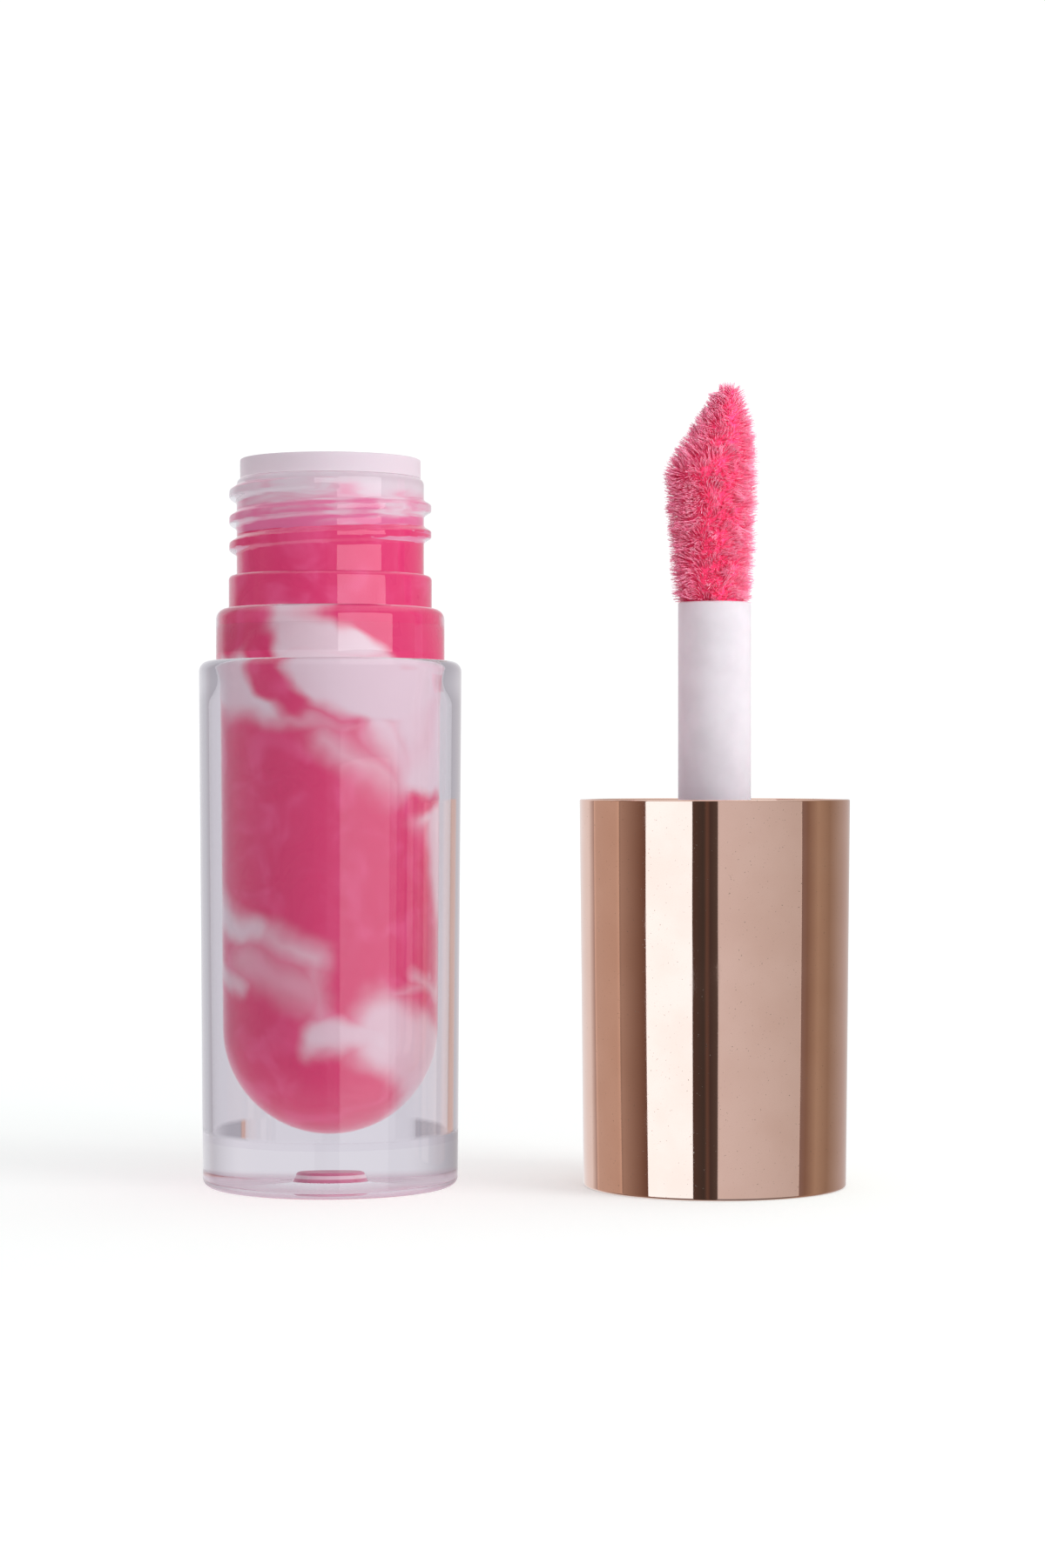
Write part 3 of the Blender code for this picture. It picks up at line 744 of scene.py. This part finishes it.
def makeWiper(material):
    w = wiper
    plug = bottle["bore"] + w["snug"]
    low = neckTop + w["snug"]
    nozzleOutside = w["orifice"] + w["nozzleWall"]
    outline = [(wiperRadius, low)]
    outline += roundStretch(wiperRadius - w["lip"], wiperTop - w["lip"], w["lip"], 0, 90, 5)
    outline += roundStretch(w["mouth"] + w["mouthRound"], wiperTop - w["mouthRound"],
                            w["mouthRound"], 90, 180, 6)
    outline += w["funnel"]
    outline += [(w["orifice"], wiperLow + w["nozzle"]), (w["orifice"], wiperLow),
                (nozzleOutside, wiperLow), (w["skirt"], w["plugEnd"] - w["skirtRise"]),
                (plug, w["plugEnd"]), (plug, low)]
    piece = spun("wiperPlug", outline, bottleX, material, "bottle", loop=True)
    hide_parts("wiper")


def makeGloss(material):
    # wets the wall: its skin lies just inside the plastic, so no air shows between them
    w = wiper
    fillTop = w["plugEnd"] + w["fillRise"]
    fillLow = wiperLow - w["fillBelow"]
    outline = chamberOutline(-w["snug"])
    outline += [(bottle["bore"] + w["fillLap"], fillTop), (w["fillInside"], fillTop),
                (w["orifice"] + w["fillNozzle"], wiperLow),
                (w["orifice"] + w["nozzleWall"], fillLow), (0, fillLow)]
    piece = spun("glossFill", outline, bottleX, material, "bottle")
    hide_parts("gloss_fill")
    return piece


cap = {
    "endRadius": 10.0, "wall": 0.5, "endThickness": 1.0, "edge": 0.18, "lip": 0.12,
    "plateTop": 13.25, "plate": 1.2, "bore": 8.05, "mouthBore": 9.0, "mouthStart": 25.4,
    "socketFloor": 4.3, "socketWall": 1.0, "socketBore": 3.0,
    "linerGap": 0.3, "linerWall": 1.0, "linerRound": 0.15, "mouthRise": 0.3,
    "threadRise": -0.6, "threadEnd": 280, "threadEndHeight": 21.0, "threadTurns": 1.5,
    "threadAbove": 0.5, "threadBelow": 0.3,
}


def makeCapShell(material):
    c = cap
    outline = [(0, ground)]
    outline += roundStretch(c["endRadius"] - c["edge"], ground + c["edge"], c["edge"], -90, 0, 5)
    outline += roundStretch(capRadius - c["lip"], capTop - c["lip"], c["lip"], 0, 90, 4)
    outline += roundStretch(capRadius - c["wall"] + c["lip"], capTop - c["lip"], c["lip"],
                            90, 180, 4)
    outline += [(c["endRadius"] - c["wall"], c["endThickness"]), (0, c["endThickness"])]
    piece = spun("capShell", outline, capX, material, "cap", sides=192)
    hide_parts("cap_shell")
    return piece


def makeLiner(material):
    c = cap
    outerLow = c["endRadius"] - c["wall"] - c["linerGap"]
    innerLow = outerLow - c["linerWall"]
    corner = c["linerRound"]
    plateLow = c["plateTop"] - c["plate"]
    socketOutside = c["socketBore"] + c["socketWall"]
    rows = 60
    outline = [(0, c["socketFloor"]), (c["socketBore"], c["socketFloor"]),
               (c["socketBore"], c["plateTop"])]
    outline += [(c["bore"], c["plateTop"] + (c["mouthStart"] - c["plateTop"]) * row / rows)
                for row in range(rows + 1)]
    outline += [(c["mouthBore"], c["mouthStart"] + c["mouthRise"])]
    outline += roundStretch(c["mouthBore"] + corner, linerTop - corner, corner, 180, 90, 3)
    outline += roundStretch(linerRadius - corner, linerTop - corner, corner, 90, 0, 3)
    outline += [(outerLow, linerLow), (innerLow, linerLow), (innerLow, plateLow),
                (socketOutside, plateLow), (socketOutside, c["socketFloor"] - c["socketWall"]),
                (0, c["socketFloor"] - c["socketWall"])]
    swell = threadSwell(c["bore"], c["threadRise"], c["threadEnd"], c["threadEndHeight"],
                        c["threadTurns"], c["plateTop"] + c["threadAbove"],
                        c["mouthStart"] - c["threadBelow"])
    piece = spun("capLiner", outline, capX, material, "cap", sides=120, reshape=swell)
    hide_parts("inner_cap")


wand = {"washerGap": 0.15, "washerEdge": 0.15, "lowEdge": 0.15, "topEdge": 0.2,
        "pegBore": 1.4, "pegDepth": 6.1}


def makeWasher(material):
    inside = stemRadius + wand["washerGap"]
    edge = wand["washerEdge"]
    outline = roundStretch(washerRadius - edge, washerTop - edge, edge, 0, 90, 3)
    outline += roundStretch(inside + edge, washerTop - edge, edge, 90, 180, 3)
    outline += [(inside, washerLow), (washerRadius, washerLow)]
    piece = spun("sealWasher", outline, capX, material, "washer", sides=96, loop=True)
    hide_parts("cap_washer")


def makeStem(material):
    w = wand
    outline = [(0, stemLow), (stemRadius - w["lowEdge"], stemLow),
               (stemRadius, stemLow + w["lowEdge"])]
    outline += roundStretch(stemRadius - w["topEdge"], stemTop - w["topEdge"], w["topEdge"],
                            0, 90, 4)
    outline += [(w["pegBore"], stemTop), (w["pegBore"], stemTop - w["pegDepth"]),
                (0, stemTop - w["pegDepth"])]
    piece = spun("wandStem", outline, capX, material, "cap", sides=96)
    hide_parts("wand_stem")


tip = {
    "heel": 54.2, "faceAngle": 200, "fullHalf": 3.3, "skinInset": 0.64, "leastSide": 0.15,
    "frontAtStem": 2.8, "frontSwell": 0.8, "slant": 4.1,
    "backAtStem": 2.55, "backSwell": 0.37, "backTaper": 0.55,
    "sideAtStem": 2.65, "sideSwell": 0.35,
    "fibres": 11000, "fibreLength": 1.06, "fibreRadius": 0.045, "fibreTaper": 0.35,
    "lean": 0.11, "tuft": 0.85, "tuftScale": 1.2, "rise": 0.15,
    "shortest": 0.7, "lengthSpread": 0.5, "shorterAtEnd": 0.3, "sunk": 0.05, "seed": 11,
    "topShare": 0.55, "stemGap": 0.02,
}


def tipExtents(height):
    # the tip's reach towards its slanted face, away from it, and to the sides
    below = min(1.0, max(0.0, (height - flockLow) / (tip["heel"] - flockLow)))
    above = max(0.0, (height - tip["heel"]) / (flockTop - tip["heel"]))
    front = tip["frontAtStem"] + tip["frontSwell"] * below - tip["slant"] * above
    back = tip["backAtStem"] + tip["backSwell"] * math.sin(below * math.pi / 2)
    back *= 1 - tip["backTaper"] * above ** 4
    side = tip["sideAtStem"] + tip["sideSwell"] * below
    return front, back, side * math.sqrt(min(1.0, (front + back) / 2 / tip["fullHalf"]))


def tipPoint(height, angle, inset):
    front, back, side = tipExtents(height)
    inset = min(inset, (front + back) / 4)
    along = (front - back) / 2 + ((front + back) / 2 - inset) * math.cos(angle)
    across = max(tip["leastSide"], side - inset) * math.sin(angle)
    turn = math.radians(tip["faceAngle"])
    return Vector((along * math.cos(turn) - across * math.sin(turn),
                   along * math.sin(turn) + across * math.cos(turn), height))


def makeTipSkin(material):
    # a tube of rings, each one then moved to the slanted tip's own section
    rows = 40
    top = flockTop - tip["fibreLength"] * tip["topShare"]
    low = stemTop + tip["stemGap"]
    outline = [(0, low)] + [(1, low + (top - low) * math.sin(row / rows * math.pi / 2))
                            for row in range(rows + 1)] + [(0, top)]

    def section(angle, radius, height):
        if radius > 0.5:
            return tipPoint(height, angle, tip["skinInset"])
        front, back, _ = tipExtents(height)
        turn = math.radians(tip["faceAngle"])
        middle = (front - back) / 2
        return Vector((middle * math.cos(turn), middle * math.sin(turn), height))

    piece = spun("tipSkin", outline, capX, material, "cap", sides=48, reshape=section,
                 sharpAngle=70)
    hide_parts("tip_flock")
    return piece


def spotPlace(spot):
    # a spot's height and sides, rounded, so that sorting by it goes the same way each run
    return [round(part / mm, 3) for part in (spot.z, spot.x, spot.y)]


def trianglePlace(spots):
    return [spotPlace(spot) for spot in spots]


def fromLowest(spots):
    # the same triangle, going round the same way from its lowest corner
    first = min(range(3), key=lambda i: spotPlace(spots[i]))
    return spots[first:] + spots[:first]


def makeFlock(skin, material):
    # short tapered fibres all over the skin, combed into tufts
    chance = random.Random(tip["seed"])
    spaceNoise.seed_set(tip["seed"])
    template = bmesh.new()
    bmesh.ops.create_cone(template, segments=3, cap_ends=False, radius1=tip["fibreRadius"] * mm,
                          radius2=tip["fibreRadius"] * tip["fibreTaper"] * mm, depth=mm,
                          matrix=Matrix.Translation((0, 0, mm / 2)))
    alongFibre = template.verts.layers.float.new("along")
    for vert in template.verts:
        vert[alongFibre] = vert.co.z / mm
    fibre = bpy.data.meshes.new("fibre")
    template.to_mesh(fibre)
    template.free()
    skin.data.calc_loop_triangles()
    corners = [vert.co for vert in skin.data.vertices]
    triangles = sorted((fromLowest([corners[i] for i in part.vertices])
                        for part in skin.data.loop_triangles), key=trianglePlace)
    sizes = [((b - a).cross(c - a)).length for a, b, c in triangles]
    pile = bmesh.new()
    for a, b, c in chance.choices(triangles, sizes, k=tip["fibres"]):
        nearShare, farShare = sorted((chance.random(), chance.random()))
        root = a + (b - a) * nearShare + (c - a) * (1 - farShare)
        outwards = (b - a).cross(c - a).normalized()
        tuft = spaceNoise.noise_vector(root / mm * tip["tuftScale"]) * tip["tuft"]
        lean = Vector([chance.gauss(0, tip["lean"]) for _ in range(3)]) + tuft
        lean.z += tip["rise"]
        turned = (outwards + lean).to_track_quat("Z", "Y").to_matrix().to_4x4()
        size = tip["fibreLength"] * (tip["shortest"] + tip["lengthSpread"] * chance.random())
        size *= 1 - tip["shorterAtEnd"] * rise(tip["heel"], flockTop, root.z / mm)
        copy = fibre.copy()
        copy.transform(Matrix.Translation(root - outwards * tip["sunk"] * mm) @ turned
                       @ Matrix.Diagonal((1, 1, size, 1)))
        pile.from_mesh(copy)
        bpy.data.meshes.remove(copy)
    bpy.data.meshes.remove(fibre)
    bmesh.ops.recalc_face_normals(pile, faces=pile.faces)
    mesh = bpy.data.meshes.new("flockFibres")
    pile.to_mesh(mesh)
    pile.free()
    mesh.materials.append(material)
    mesh.shade_smooth()
    piece = bpy.data.objects.new("flockFibres", mesh)
    bpy.context.scene.collection.objects.link(piece)
    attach(piece, "cap")
    return piece


def paintNode(name, material):
    for slotted in nodes[name].material_slots:
        slotted.material = material


bottleAxis = (bottleX, 0, 0)
capAxis = (capX, 0, 0)

makeCamera()
makeFloor()
makeWorld()
print("stage ready")

glass = clearPlastic("sleevePlastic", bottleAxis, (0.955, 0.945, 0.96), withFoot=True)
innerPlastic = clearPlastic("bottlePlastic", bottleAxis, (0.99, 0.98, 0.985))
sleeve = makeSleeve(glass)
inner = makeInnerBottle(innerPlastic)
makeWiper(stainedPlastic("wiperPlastic", bottleAxis))
gloss = makeGloss(swirledGloss("swirledGloss", bottleAxis))
print("bottle built")

shell = makeCapShell(roseGold("roseGold", capAxis))
makeLiner(satinPlastic("linerPlastic", capAxis, (0.80, 0.77, 0.78), 0.35, 0.2))
makeWasher(satinPlastic("washerFoam", capAxis, (0.86, 0.85, 0.84), 0.75, 0.1, 0.5))
makeStem(satinPlastic("stemPlastic", capAxis, (0.83, 0.77, 0.82), 0.34, 0.3))
paintNode("tip_core", satinPlastic("corePlastic", capAxis, (0.90, 0.09, 0.19), 0.6, 0.2))
print("cap built")

skin = makeTipSkin(flockSkin("flockSkin", capAxis))
fibres = makeFlock(skin, flockFibre("flockFibre", capAxis))
print("tip built")

makeLamp("key", (0, 0, stage["keyTarget"]), **stage["key"],
         visible_glossy=False, visible_transmission=False)
flockLamp = makeLamp("flockLamp", (capX, 0, stage["flockTarget"]), **stage["flockLamp"],
                     visible_glossy=False)
showOnly(flockLamp, [skin, fibres])
for panelName in ("capBright", "capFill", "capWarm"):
    makePanel(panelName, capX, [shell])
makePanel("neckBright", bottleX, [inner])
makePanel("sleeveSoft", bottleX, [sleeve])
gloss.visible_glossy = False   # keeps the bottle out of the cap's mirror
inner.visible_glossy = False
sleeve.visible_glossy = False
print("lamps ready")

view = bpy.context.scene.view_settings
view.view_transform = "Standard"
view.look = "None"
bpy.context.scene.cycles.max_bounces = 24
bpy.context.scene.cycles.diffuse_bounces = 12
bpy.context.scene.cycles.transmission_bounces = 20
bpy.context.scene.cycles.transparent_max_bounces = 24
